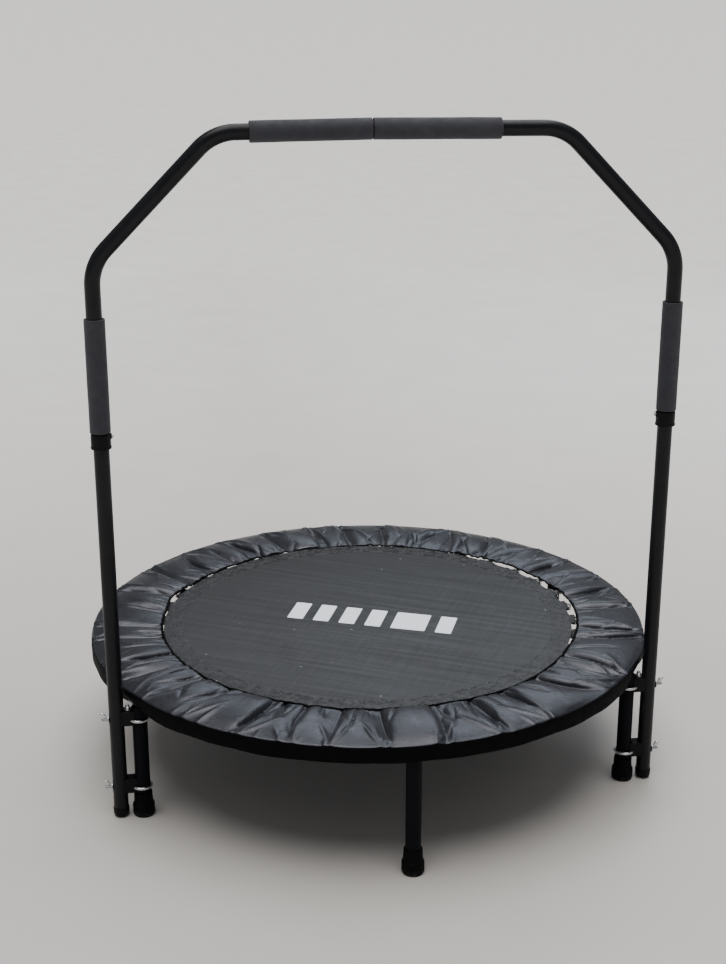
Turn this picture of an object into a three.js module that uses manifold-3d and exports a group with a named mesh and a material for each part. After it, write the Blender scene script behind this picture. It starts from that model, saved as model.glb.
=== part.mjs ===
// Mini trampoline with a clamped-on, height-adjustable handle bar.
// Millimetres, +Z up. The origin is on the floor under the middle of the round frame, and the handle
// stands on the -Y side, its plane parallel to X.
import * as THREE from "three";
import { mergeVertices } from "three/addons/utils/BufferGeometryUtils.js";
import Module from "manifold-3d";

const wasm = await Module();
wasm.setup();

// ---- driving dimensions ------------------------------------------------------------------------------
const GAP = 0.3; // clearance between pieces that touch
const WALL = 1.2; // tube wall

// Round frame and its six legs
const FRAME_RADIUS = 489; // to the tube's centreline
const FRAME_TUBE = 12.7; // radius of a 1 inch tube
const FRAME_WALL = 1.4;
const FRAME_HEIGHT = 216; // centreline above the floor
const LEG_COUNT = 6;
const LEG_BORE_DEPTH = 23; // the threaded plug in a leg's top end
const STUD_RADIUS = 5; // M10 stud welded to the frame
const FOOT_HEIGHT = 43;
const FOOT_RADIUS = 18.5;
const FOOT_SOLE = 5;

// Bouncing surface
const SPRING_COUNT = 36;
const SPRING_TURN = THREE.MathUtils.degToRad(2); // first spring's angle from the front leg
const SPRING_RADIUS = 5;
const SPRING_HEIGHT = 224;
const HOOK_HOLE_RADIUS = 2.5;
const MAT_RADIUS = 376;
const MAT_TOP = 232;
const MAT_THICKNESS = 1.5;
const HEM_WIDTH = 38;

// Gathered cover over the springs and the frame tube
const COVER_INNER_RADIUS = 384;
const COVER_OUTER_RADIUS = 506.5;
const COVER_INNER_TOP = 239;
const COVER_CREST = 234;
const COVER_HEM = 204.5;
const COVER_THICKNESS = 1.7;
const COVER_NOTCH_WIDTH = 40; // opening in the skirt at each leg
const COVER_NOTCH_TOP = 213;

// Handle
const UPRIGHT_RADIUS = 12.5;
const UPRIGHT_OFFSET = 37.5; // from a leg's axis to the upright's axis
const UPRIGHT_FLOOR_GAP = 2;
const UPRIGHT_TOP = 654;
const INNER_TUBE_RADIUS = 10.95; // slides in the upright
const INNER_TUBE_BOTTOM = 450;
const INNER_TUBE_IN_ARCH = 120;
const COLLAR_RADIUS = 16.5;
const COLLAR_HEIGHT = 25;
const ARCH_BOTTOM = 680;
const ARCH_LOW_CORNER = 944; // height where the vertical and the diagonal meet
const ARCH_CORNER_X = 270; // where the diagonal meets the top bar
const ARCH_TOP_CORNER = 1138;
const ARCH_BEND_RADIUS = 80;
const ARCH_SEAM_X = -30; // the two halves meet a little left of the middle
const ARCH_PEAK = 2.5; // the top bar rises this much to the seam
const GRIP_RADIUS = 16.5;
const GRIP_BORE = 12.95;
const SIDE_GRIP_LENGTH = 181;
const BAR_GRIP_LENGTHS = { left: 186, right: 198 };

// Clamps between leg and upright
const CLAMP_HEIGHTS = { upper: 181, lower: 55 };
const WIRE_RADIUS = 2.5; // eye bolt
const EYE_RADIUS = 15.8; // to the wire's centreline
const BLOCK_HEIGHT = 26;
const BLOCK_DEPTH = 21;
const BLOCK_RISE = 3.5; // block's middle above the bolt
const WASHER_THICKNESS = 1;

// Numbers of flats on round pieces
const RING_SIDES = 60;
const TUBE_SIDES = 16;
const WIRE_SIDES = 6;

// ---- materials ---------------------------------------------------------------------------------------
const finish = (color, roughness, metalness) => () =>
  new THREE.MeshStandardMaterial({ color, roughness, metalness });
const blackPaint = finish(0x1b1c1f, 0.35, 0.3);
const zincPlate = finish(0xc9ccce, 0.25, 1);
const blackPlastic = finish(0x17171a, 0.5, 0);
const blackRubber = finish(0x161617, 0.75, 0);
const blackFoam = finish(0x1c1d20, 0.85, 0);
const matFabric = finish(0x3a3b3e, 0.7, 0);
const coverFabric = finish(0x1d1f27, 0.55, 0);

// ---- closed solids -----------------------------------------------------------------------------------
// A closed geometry as a solid that can be joined and cut.
function solidOf(geometry) {
  const bare = geometry.clone();
  bare.deleteAttribute("normal");
  bare.deleteAttribute("uv");
  const merged = mergeVertices(bare, 1e-4);
  return new wasm.Manifold(
    new wasm.Mesh({
      numProp: 3,
      vertProperties: merged.attributes.position.array,
      triVerts: new Uint32Array(merged.index.array),
    }),
  );
}

function geometryOf(solid) {
  const { vertProperties, triVerts } = solid.getMesh();
  const geometry = new THREE.BufferGeometry();
  geometry.setAttribute("position", new THREE.BufferAttribute(vertProperties, 3));
  geometry.setIndex(new THREE.BufferAttribute(triVerts, 1));
  geometry.computeVertexNormals();
  return geometry;
}

const cut = (geometry, ...tools) =>
  geometryOf(tools.reduce((solid, tool) => solid.subtract(solidOf(tool)), solidOf(geometry)));
const join = (geometry, ...others) =>
  geometryOf(others.reduce((solid, other) => solid.add(solidOf(other)), solidOf(geometry)));

// A solid of revolution about Z from [radius, height] points, counter-clockwise: out, up and back in.
const turned = (profile, sides = TUBE_SIDES) =>
  new THREE.LatheGeometry(profile.map(([r, z]) => new THREE.Vector2(r, z)), sides).rotateX(Math.PI / 2);

const rod = (radius, bottom, top, sides = TUBE_SIDES) =>
  turned([[0, bottom], [radius, bottom], [radius, top], [0, top]], sides);

const pipe = (outer, inner, bottom, top, sides = TUBE_SIDES) =>
  turned([[inner, bottom], [outer, bottom], [outer, top], [inner, top], [inner, bottom]], sides);

// A round ring about Z, its wire of the given radius and number of sides.
function hoop(ringRadius, height, wireRadius, ringSides, wireSides) {
  const profile = [];
  for (let i = 0; i <= wireSides; i++) {
    const angle = ((i % wireSides) / wireSides) * 2 * Math.PI - Math.PI / 2;
    profile.push([ringRadius + wireRadius * Math.cos(angle), height + wireRadius * Math.sin(angle)]);
  }
  return turned(profile, ringSides);
}

// Straight runs joined by arcs. The stations are the ends of the runs and even steps round each arc, so
// a tube swept along them has no needless rings on its straight runs.
class BentPath extends THREE.Curve {
  constructor(corners, bendRadius, stepsPerBend) {
    super();
    this.stations = [corners[0]];
    for (let i = 1; i < corners.length - 1; i++) {
      const inward = corners[i - 1].clone().sub(corners[i]).normalize();
      const outward = corners[i + 1].clone().sub(corners[i]).normalize();
      const half = (Math.PI - inward.angleTo(outward)) / 2;
      const setback = bendRadius * Math.tan(half);
      const towardCentre = inward.clone().add(outward).normalize();
      const centre = corners[i].clone().addScaledVector(towardCentre, bendRadius / Math.cos(half));
      const start = corners[i].clone().addScaledVector(inward, setback).sub(centre);
      const end = corners[i].clone().addScaledVector(outward, setback).sub(centre);
      for (let k = 0; k <= stepsPerBend; k++) {
        const share = k / stepsPerBend;
        const point = start.clone().multiplyScalar(Math.sin((1 - share) * 2 * half));
        point.addScaledVector(end, Math.sin(share * 2 * half)).divideScalar(Math.sin(2 * half));
        this.stations.push(point.add(centre));
      }
    }
    this.stations.push(corners[corners.length - 1]);
  }

  getPoint(t, target = new THREE.Vector3()) {
    const place = t * (this.stations.length - 1);
    const i = Math.min(Math.floor(place), this.stations.length - 2);
    return target.lerpVectors(this.stations[i], this.stations[i + 1], place - i);
  }

  getUtoTmapping(u) {
    return u;
  }
}

// A tube with open ends and a real wall, swept along a bent path.
function bentTube(path, radius, wall) {
  const section = new THREE.Shape().absarc(0, 0, radius, 0, 2 * Math.PI);
  section.holes.push(new THREE.Path().absarc(0, 0, radius - wall, 0, 2 * Math.PI, true));
  return new THREE.ExtrudeGeometry(section, {
    curveSegments: TUBE_SIDES / 2,
    steps: path.stations.length - 1,
    extrudePath: path,
    bevelEnabled: false,
  });
}

// ---- the assembly ------------------------------------------------------------------------------------
const trampoline = new THREE.Group();

function add(group, name, geometry, material) {
  const mesh = new THREE.Mesh(geometry, material());
  mesh.name = name;
  group.add(mesh);
  return mesh;
}

// Angles are measured from the front leg, which stands at -Y, towards +X.
const around = (angle, radius) => [radius * Math.sin(angle), -radius * Math.cos(angle), 0];
const legAngle = (i) => (i * 2 * Math.PI) / LEG_COUNT;
const springAngle = (i) => SPRING_TURN + (i * 2 * Math.PI) / SPRING_COUNT;

// A rod along +X moved to the spring's place: it runs outward from the centre of the frame.
const radialRod = (angle, radius, from, to, height, sides) =>
  rod(radius, from, to, sides).rotateY(Math.PI / 2).rotateZ(angle - Math.PI / 2).translate(0, 0, height);

// -- frame, legs and feet
function frameRing() {
  const bore = hoop(FRAME_RADIUS, FRAME_HEIGHT, FRAME_TUBE - FRAME_WALL, RING_SIDES, 6);
  const hookHoles = [];
  for (let i = 0; i < SPRING_COUNT; i++)
    hookHoles.push(
      radialRod(springAngle(i), HOOK_HOLE_RADIUS, FRAME_RADIUS - 2 * FRAME_TUBE, FRAME_RADIUS, SPRING_HEIGHT, 4),
    );
  const studHoles = [];
  for (let i = 0; i < LEG_COUNT; i++)
    studHoles.push(
      rod(STUD_RADIUS + 2 * GAP, FRAME_HEIGHT - 2 * FRAME_TUBE, FRAME_HEIGHT, 8).translate(
        ...around(legAngle(i), FRAME_RADIUS),
      ),
    );
  const tube = hoop(FRAME_RADIUS, FRAME_HEIGHT, FRAME_TUBE, RING_SIDES, 10);
  return cut(tube, bore, ...hookHoles, ...studHoles);
}
add(trampoline, "frame_ring", frameRing(), blackPaint);

const LEG_TOP = FRAME_HEIGHT - FRAME_TUBE - GAP;
const LEG_BOTTOM = FOOT_SOLE + GAP;

// A tube whose top end is plugged by a threaded bush for the frame's stud.
const legTube = () => {
  const bore = FRAME_TUBE - FRAME_WALL;
  const thread = STUD_RADIUS + GAP;
  return turned([
    [bore, LEG_BOTTOM],
    [FRAME_TUBE, LEG_BOTTOM],
    [FRAME_TUBE, LEG_TOP],
    [thread, LEG_TOP],
    [thread, LEG_TOP - LEG_BORE_DEPTH],
    [bore, LEG_TOP - LEG_BORE_DEPTH],
    [bore, LEG_BOTTOM],
  ]);
};

// A wide sole, and a narrower collar that grips the leg.
const foot = () => {
  const collar = FRAME_TUBE + 2.6;
  const bore = FRAME_TUBE + 0.4;
  const shoulder = FOOT_HEIGHT / 2;
  return turned([
    [0, 0],
    [FOOT_RADIUS - 2, 0],
    [FOOT_RADIUS, 3],
    [FOOT_RADIUS, shoulder - 1],
    [collar + 0.6, shoulder + 1.5],
    [collar, FOOT_HEIGHT],
    [bore, FOOT_HEIGHT],
    [bore, FOOT_SOLE],
    [0, FOOT_SOLE],
  ]);
};

const legNames = ["front", "front_right", "rear_right", "rear", "rear_left", "front_left"];
legNames.forEach((name, i) => {
  const place = new THREE.Group();
  place.position.set(...around(legAngle(i), FRAME_RADIUS));
  trampoline.add(place);
  const studTop = FRAME_HEIGHT - FRAME_TUBE / 2;
  const studBottom = LEG_TOP - LEG_BORE_DEPTH + 3;
  add(place, `leg_stud_${name}`, rod(STUD_RADIUS, studBottom, studTop, 12), zincPlate);
  add(place, `leg_${name}`, legTube(), blackPaint);
  add(place, `foot_${name}`, foot(), blackRubber);
});

// -- mat, its hem and the springs
const MAT_BOTTOM = MAT_TOP - MAT_THICKNESS;
add(trampoline, "mat", rod(MAT_RADIUS, MAT_BOTTOM, MAT_TOP, RING_SIDES), matFabric);

const HEM_TOP = MAT_BOTTOM - GAP;
add(
  trampoline,
  "mat_hem",
  pipe(MAT_RADIUS, MAT_RADIUS - HEM_WIDTH, HEM_TOP - MAT_THICKNESS, HEM_TOP, RING_SIDES),
  matFabric,
);

// The springs lie like spokes. The hooks and rings at their inner ends make one band round the mat.
function springSet() {
  const bandInner = MAT_RADIUS + 1;
  const bandOuter = MAT_RADIUS + 8;
  const band = pipe(bandOuter, bandInner, SPRING_HEIGHT - 1.5, SPRING_HEIGHT + 1.5, SPRING_COUNT);
  const coils = [];
  for (let i = 0; i < SPRING_COUNT; i++)
    coils.push(
      radialRod(springAngle(i), SPRING_RADIUS, bandOuter - 2, FRAME_RADIUS - FRAME_TUBE - 1, SPRING_HEIGHT, 6),
    );
  return join(band, ...coils);
}
add(trampoline, "spring_set", springSet(), zincPlate);

// -- cover: a flat annulus over the springs that rounds over the frame tube and ends in a short skirt,
// which is open at each leg
function springCover() {
  const bend = 15;
  const outer = COVER_OUTER_RADIUS;
  const shell = (inset) => [
    [COVER_INNER_RADIUS, COVER_INNER_TOP - inset],
    [outer - bend, COVER_CREST - inset],
    [outer - bend + (bend - inset) * Math.SQRT1_2, COVER_CREST - bend + (bend - inset) * Math.SQRT1_2],
    [outer - inset, COVER_CREST - bend],
    [outer - inset, COVER_HEM],
  ];
  const inside = shell(COVER_THICKNESS);
  const outside = shell(0).reverse();
  const notches = [];
  for (let i = 0; i < LEG_COUNT; i++)
    notches.push(
      new THREE.BoxGeometry(COVER_NOTCH_WIDTH, 20, 30)
        .rotateZ(legAngle(i))
        .translate(...around(legAngle(i), outer))
        .translate(0, 0, COVER_NOTCH_TOP - 15),
    );
  return cut(turned([...inside, ...outside, inside[0]], RING_SIDES), ...notches);
}
add(trampoline, "spring_cover", springCover(), coverFabric);

// -- handle: the same set of pieces on either side
const SIDE_ANGLE = legAngle(1);
const LEG_X = FRAME_RADIUS * Math.sin(SIDE_ANGLE);
const HANDLE_Y = -FRAME_RADIUS * Math.cos(SIDE_ANGLE);
const UPRIGHT_X = LEG_X + UPRIGHT_OFFSET;
const UPRIGHT_BORE = UPRIGHT_RADIUS - WALL;
const COLLAR_BOTTOM = UPRIGHT_TOP + GAP;
const LOCK_HEIGHT = COLLAR_BOTTOM + 19.5;
const BOSS_RADIUS = 4.8;
const BOSS_REACH = 17.4; // from the upright's axis towards the middle of the handle
const LOCK_RADIUS = 1.8;

// Rods along X, from the axis of the piece outward, at a given height.
const rodAlongX = (radius, from, to, height, sides = 12) =>
  rod(radius, from, to, sides).rotateY(Math.PI / 2).translate(0, 0, height);

function upright() {
  const wallHoles = Object.values(CLAMP_HEIGHTS).map((height) =>
    rodAlongX(WIRE_RADIUS + GAP, -2 * UPRIGHT_RADIUS, 2 * UPRIGHT_RADIUS, height),
  );
  const bottom = UPRIGHT_FLOOR_GAP + 2 + GAP;
  return cut(pipe(UPRIGHT_RADIUS, UPRIGHT_BORE, bottom, UPRIGHT_TOP), ...wallHoles);
}

const uprightCap = () => {
  const floor = UPRIGHT_FLOOR_GAP;
  const bore = UPRIGHT_RADIUS + 0.4;
  const outer = UPRIGHT_RADIUS + 1.1;
  return turned([
    [0, floor],
    [outer - 1.2, floor],
    [outer, floor + 1.2],
    [outer, floor + 15],
    [bore, floor + 15],
    [bore, floor + 2],
    [0, floor + 2],
  ]);
};

// The collar closes the upright's top and holds the height screw in a boss on its inner side.
function collar() {
  const ring = rod(COLLAR_RADIUS, COLLAR_BOTTOM, COLLAR_BOTTOM + COLLAR_HEIGHT, 24);
  const boss = rodAlongX(BOSS_RADIUS, 0, BOSS_REACH, LOCK_HEIGHT);
  const bore = rod(UPRIGHT_BORE, COLLAR_BOTTOM - 1, COLLAR_BOTTOM + COLLAR_HEIGHT + 1);
  const screwHole = rodAlongX(LOCK_RADIUS + GAP, 0, BOSS_REACH + 1, LOCK_HEIGHT);
  return cut(join(ring, boss), bore, screwHole);
}

// A small screw with a round slotted head. Its point bears on the inner tube.
const lockScrew = () => {
  const point = INNER_TUBE_RADIUS + GAP;
  const seat = BOSS_REACH + GAP;
  const headRadius = 3.2;
  const headHeight = 2.2;
  const profile = [
    [0, point],
    [LOCK_RADIUS, point],
    [LOCK_RADIUS, seat],
    [headRadius, seat],
    [headRadius, seat + headHeight / 2],
    [headRadius - 1, seat + headHeight],
    [0, seat + headHeight],
  ];
  const slot = new THREE.BoxGeometry(1.6, 20, 0.8).translate(seat + headHeight, 0, 0);
  return cut(turned(profile, 12).rotateY(Math.PI / 2), slot);
};

// The wire eye round the leg, with its straight shank running out through block and upright.
const SHANK_END = UPRIGHT_OFFSET + UPRIGHT_RADIUS + 13;
const eyeBolt = (wireRadius, length) =>
  join(
    hoop(EYE_RADIUS, 0, wireRadius, 20, WIRE_SIDES),
    rodAlongX(wireRadius, EYE_RADIUS, length, 0, WIRE_SIDES),
  );

// A block between leg and upright, hollowed to both tubes, with a groove for the eye bolt.
function saddleBlock(extraHoles) {
  const near = FRAME_TUBE - 5;
  const far = UPRIGHT_OFFSET - UPRIGHT_RADIUS + 5;
  const body = new THREE.BoxGeometry(far - near, BLOCK_DEPTH, BLOCK_HEIGHT);
  body.translate((near + far) / 2, 0, BLOCK_RISE);
  const tools = [
    rod(FRAME_TUBE + GAP, -BLOCK_HEIGHT, BLOCK_HEIGHT),
    rod(UPRIGHT_RADIUS + GAP, -BLOCK_HEIGHT, BLOCK_HEIGHT).translate(UPRIGHT_OFFSET, 0, 0),
    eyeBolt(WIRE_RADIUS + GAP, SHANK_END),
    ...extraHoles,
  ];
  return cut(body, ...tools);
}

// A domed nut and washer on a short stud that stands in the upper block.
const BLOCK_TOP = BLOCK_RISE + BLOCK_HEIGHT / 2;
const BLOCK_STUD_X = (FRAME_TUBE + UPRIGHT_OFFSET - UPRIGHT_RADIUS) / 2;
const BLOCK_STUD_RADIUS = 2;
const BLOCK_STUD_DEPTH = 8;
const blockStudHole = () =>
  rod(BLOCK_STUD_RADIUS + GAP, BLOCK_TOP - BLOCK_STUD_DEPTH - 1, BLOCK_TOP + 1, 12)
    .translate(BLOCK_STUD_X, 0, 0);
const blockStud = () =>
  turned(
    [
      [0, BLOCK_TOP - BLOCK_STUD_DEPTH],
      [BLOCK_STUD_RADIUS, BLOCK_TOP - BLOCK_STUD_DEPTH],
      [BLOCK_STUD_RADIUS, BLOCK_TOP + GAP],
      [6, BLOCK_TOP + GAP],
      [6, BLOCK_TOP + 1.6],
      [4.2, BLOCK_TOP + 1.6],
      [4.2, BLOCK_TOP + 6],
      [2.8, BLOCK_TOP + 9.5],
      [0, BLOCK_TOP + 10.5],
    ],
    12,
  );

// Washer and wing nut are turned about the bolt's axis, then laid along X.
const NUT_SEAT = UPRIGHT_OFFSET + UPRIGHT_RADIUS + GAP;
const washer = () =>
  pipe(7, WIRE_RADIUS + GAP, NUT_SEAT, NUT_SEAT + WASHER_THICKNESS).rotateY(Math.PI / 2);

function wingNut() {
  const start = NUT_SEAT + WASHER_THICKNESS + GAP;
  const bore = WIRE_RADIUS + GAP;
  const hub = turned(
    [[bore, start], [5.5, start], [4.2, start + 9], [bore, start + 9], [bore, start]],
    12,
  );
  const wingOutline = new THREE.Shape([
    new THREE.Vector2(3.6, start + 2),
    new THREE.Vector2(8, start + 3.5),
    new THREE.Vector2(12, start + 7),
    new THREE.Vector2(12.6, start + 11),
    new THREE.Vector2(10.5, start + 13),
    new THREE.Vector2(7.5, start + 12),
    new THREE.Vector2(3.6, start + 7),
  ]);
  const wing = new THREE.ExtrudeGeometry(wingOutline, { depth: 2, bevelEnabled: false })
    .translate(0, 0, -1)
    .rotateX(Math.PI / 2);
  const nut = join(hub, wing, wing.clone().rotateZ(Math.PI));
  return cut(nut, rod(bore, start - 1, start + 12, 12)).rotateY(Math.PI / 2);
}

// Each half of the arch is drawn on the +X side, up to the seam as that side sees it.
const PEAK_HEIGHT = ARCH_TOP_CORNER + ARCH_PEAK;
const archPath = (seamX) => {
  const corners = [
    [UPRIGHT_X, ARCH_BOTTOM],
    [UPRIGHT_X, ARCH_LOW_CORNER],
    [ARCH_CORNER_X, ARCH_TOP_CORNER],
    [seamX + GAP / 2, PEAK_HEIGHT],
  ].map(([x, z]) => new THREE.Vector3(x, 0, z));
  return new BentPath(corners, ARCH_BEND_RADIUS, 6);
};

// The tube that slides in the upright and is fixed in the arch.
const innerTube = () => {
  const top = ARCH_BOTTOM + INNER_TUBE_IN_ARCH;
  return pipe(INNER_TUBE_RADIUS, INNER_TUBE_RADIUS - WALL, INNER_TUBE_BOTTOM, top);
};

const grip = (from, length) => pipe(GRIP_RADIUS, GRIP_BORE, from, from + length, 24);

const sides = { left: Math.PI, right: 0 };
for (const [side, turn] of Object.entries(sides)) {
  // a frame whose +X points outward on this side, in the handle's plane
  const half = new THREE.Group();
  half.position.y = HANDLE_Y;
  half.rotation.z = turn;
  trampoline.add(half);

  const post = new THREE.Group();
  post.position.x = UPRIGHT_X;
  half.add(post);
  add(post, `upright_${side}`, upright(), blackPaint);
  add(post, `upright_cap_${side}`, uprightCap(), blackPlastic);
  add(post, `inner_tube_${side}`, innerTube(), blackPaint);

  const inwardFacing = new THREE.Group();
  inwardFacing.rotation.z = Math.PI;
  post.add(inwardFacing);
  add(inwardFacing, `height_collar_${side}`, collar(), blackPlastic);
  add(inwardFacing, `height_screw_${side}`, lockScrew(), zincPlate).position.z = LOCK_HEIGHT;

  const seamX = ARCH_SEAM_X * Math.cos(turn);
  add(half, `arch_half_${side}`, bentTube(archPath(seamX), UPRIGHT_RADIUS, WALL), blackPaint);
  add(post, `side_grip_${side}`, grip(ARCH_BOTTOM + GAP, SIDE_GRIP_LENGTH), blackFoam);

  // the top bar, as a +Z axis that starts at the seam
  const bar = new THREE.Group();
  bar.position.set(seamX, 0, PEAK_HEIGHT);
  bar.rotation.y = Math.PI / 2 + Math.atan2(ARCH_PEAK, ARCH_CORNER_X - seamX);
  half.add(bar);
  add(bar, `bar_grip_${side}`, grip(1, BAR_GRIP_LENGTHS[side]), blackFoam);

  for (const [level, height] of Object.entries(CLAMP_HEIGHTS)) {
    const clamp = new THREE.Group();
    clamp.position.set(LEG_X, 0, height);
    half.add(clamp);
    const isUpper = level === "upper";
    const studHoles = isUpper ? [blockStudHole()] : [];
    add(clamp, `eye_bolt_${level}_${side}`, eyeBolt(WIRE_RADIUS, SHANK_END), zincPlate);
    add(clamp, `saddle_block_${level}_${side}`, saddleBlock(studHoles), blackPlastic);
    add(clamp, `washer_${level}_${side}`, washer(), zincPlate);
    add(clamp, `wing_nut_${level}_${side}`, wingNut(), zincPlate);
    if (isUpper) add(clamp, `block_stud_${side}`, blockStud(), zincPlate).position.x = BLOCK_STUD_X;
  }
}

// A short joining tube inside the two halves of the arch, under the grips.
const JOINER_RADIUS = 10.4;
const JOINER_LENGTH = 120;
const joiner = pipe(JOINER_RADIUS, JOINER_RADIUS - WALL, -JOINER_LENGTH / 2, JOINER_LENGTH / 2)
  .rotateY(Math.PI / 2)
  .translate(ARCH_SEAM_X, HANDLE_Y, PEAK_HEIGHT);
add(trampoline, "arch_joiner", joiner, blackPaint);

export default trampoline;
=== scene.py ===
import math

import bmesh
import bpy
import numpy as np
from mathutils import Matrix, Vector, noise


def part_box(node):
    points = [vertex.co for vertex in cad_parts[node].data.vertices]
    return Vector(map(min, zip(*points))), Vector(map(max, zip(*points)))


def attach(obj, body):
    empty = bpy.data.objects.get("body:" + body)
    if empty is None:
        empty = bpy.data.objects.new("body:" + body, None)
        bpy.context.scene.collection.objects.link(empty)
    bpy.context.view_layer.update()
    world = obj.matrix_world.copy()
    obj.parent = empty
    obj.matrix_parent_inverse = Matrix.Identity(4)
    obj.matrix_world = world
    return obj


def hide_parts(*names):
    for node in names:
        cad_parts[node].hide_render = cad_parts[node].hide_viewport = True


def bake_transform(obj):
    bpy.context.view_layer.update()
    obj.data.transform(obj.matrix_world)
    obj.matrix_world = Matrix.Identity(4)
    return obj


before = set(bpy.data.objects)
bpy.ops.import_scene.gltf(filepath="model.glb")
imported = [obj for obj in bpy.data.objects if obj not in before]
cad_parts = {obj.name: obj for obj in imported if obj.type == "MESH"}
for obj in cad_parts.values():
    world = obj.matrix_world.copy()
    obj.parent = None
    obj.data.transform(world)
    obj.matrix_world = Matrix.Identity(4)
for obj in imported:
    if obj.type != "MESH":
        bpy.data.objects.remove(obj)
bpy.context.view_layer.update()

TAU = 2 * math.pi
MM = 0.001
FRAME_WALL = 1.4 * MM  # of the hoop and the legs
HANDLE_WALL = 1.2 * MM


# ---- places, from the CAD frame ------------------------------------
def low(node):
    return Vector(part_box(node)[0])


def high(node):
    return Vector(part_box(node)[1])


def centre(node):
    return (low(node) + high(node)) / 2


def half_size(node):
    return (high(node) - low(node)) / 2


TUBE_R = half_size("frame_ring").z
FRAME_Z = centre("frame_ring").z
FRAME_R = half_size("frame_ring").x - TUBE_R
MAT_R = half_size("mat").x
MAT_TOP = high("mat").z
MAT_BOTTOM = low("mat").z
HEM_BOTTOM = low("mat_hem").z
HEM_WIDTH = 38 * MM
RING_WIRE_R = 1.25 * MM
COVER_R = half_size("spring_cover").x
COVER_HEM = low("spring_cover").z
LEG_NAMES = ("front", "front_right", "rear_right", "rear", "rear_left", "front_left")
HANDLE_LEGS = (1, 5)
SPRING_COUNT = 36
SPRING_TURN = math.radians(2)
SPRING_Z = centre("spring_set").z
RING_Z = HEM_BOTTOM - 1.9 * MM
HANDLE_Y = centre("upright_right").y
LEG_X = centre("leg_front_right").x
UPRIGHT_X = centre("upright_right").x
UPRIGHT_R = half_size("upright_right").x
SIDES = {"left": math.pi, "right": 0.0}
LEVELS = ("upper", "lower")


def polar(angle, radius, z=0.0):
    """A point at an angle from the front leg (-Y) towards +X."""
    return Vector((radius * math.sin(angle), -radius * math.cos(angle), z))


def leg_angle(i):
    return i * TAU / len(LEG_NAMES)


def spring_angle(i):
    return SPRING_TURN + i * TAU / SPRING_COUNT


def at_spring(i, z=0.0):
    """A frame whose +X runs outward along a spring."""
    return Matrix.Translation((0, 0, z)) @ Matrix.Rotation(spring_angle(i) - math.pi / 2, 4, "Z")


def on_side(side, x=0.0, z=0.0):
    """A frame whose +X runs outward on one side of the handle, in the handle's plane."""
    plane = Matrix.Translation((0, HANDLE_Y, 0))
    return plane @ Matrix.Rotation(SIDES[side], 4, "Z") @ Matrix.Translation((x, 0, z))


TO_X = Matrix.Rotation(math.pi / 2, 4, "Y")  # lays a shape made about Z along X


# ---- shapes: (points, faces) ---------------------------------------
def moved(shape, matrix):
    points, faces = shape
    m = np.array(matrix)
    return points @ m[:3, :3].T + m[:3, 3], faces


def joined(*shapes):
    points, faces, start = [], [], 0
    for p, f in shapes:
        points.append(p)
        faces += [[v + start for v in face] for face in f]
        start += len(p)
    return np.concatenate(points), faces


def mm(*corners, radius=0.0, height=0.0):
    """Profile corners given in millimetres, counted from a radius and a height."""
    return [(c[0] * MM + radius, c[1] * MM + height, *(v * MM for v in c[2:])) for c in corners]


def rounded(profile, steps=4, closed=False):
    """Replaces each corner that has a third number by a small arc of about that radius."""
    out = []
    count = len(profile)
    for i, corner in enumerate(profile):
        radius = corner[2] if len(corner) > 2 else 0
        here = Vector(corner[:2])
        inside = closed or 0 < i < count - 1
        if not radius or not inside:
            out.append(tuple(here))
            continue
        before = Vector(profile[i - 1][:2]) - here
        after = Vector(profile[(i + 1) % count][:2]) - here
        reach = min(radius, 0.48 * before.length, 0.48 * after.length)
        a = here + before.normalized() * reach
        b = here + after.normalized() * reach
        for k in range(steps + 1):
            t = k / steps
            out.append(tuple(a * (1 - t) ** 2 + here * (2 * t * (1 - t)) + b * t ** 2))
    return out


def lathe(profile, segments=48, closed=False):
    """A solid of revolution about Z from (radius, height) points: from axis to axis, or a closed loop."""
    points, rings = [], []
    for r, z in profile:
        if r < 1e-7:
            rings.append([len(points)])
            points.append((0, 0, z))
            continue
        rings.append(list(range(len(points), len(points) + segments)))
        for k in range(segments):
            a = k * TAU / segments
            points.append((r * math.cos(a), r * math.sin(a), z))
    pairs = list(zip(rings, rings[1:]))
    if closed:
        pairs.append((rings[-1], rings[0]))
    faces = []
    for a, b in pairs:
        if len(a) == 1 and len(b) == 1:
            continue
        for k in range(segments):
            n = (k + 1) % segments
            corners = [a[k % len(a)], a[n % len(a)], b[n % len(b)], b[k % len(b)]]
            faces.append(list(dict.fromkeys(corners)))
    return np.array(points, float), faces


def pipe(outer, inner, bottom, top, fillet=0.4 * MM, segments=48, rings=1):
    """A tube with a wall and softened rims."""
    sides = [(outer, bottom + (top - bottom) * k / rings) for k in range(1, rings)]
    corners = [(inner, bottom, fillet), (outer, bottom, fillet), *sides]
    corners += [(outer, top, fillet), (inner, top, fillet)]
    return lathe(rounded(corners, closed=True), segments, closed=True)


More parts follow.
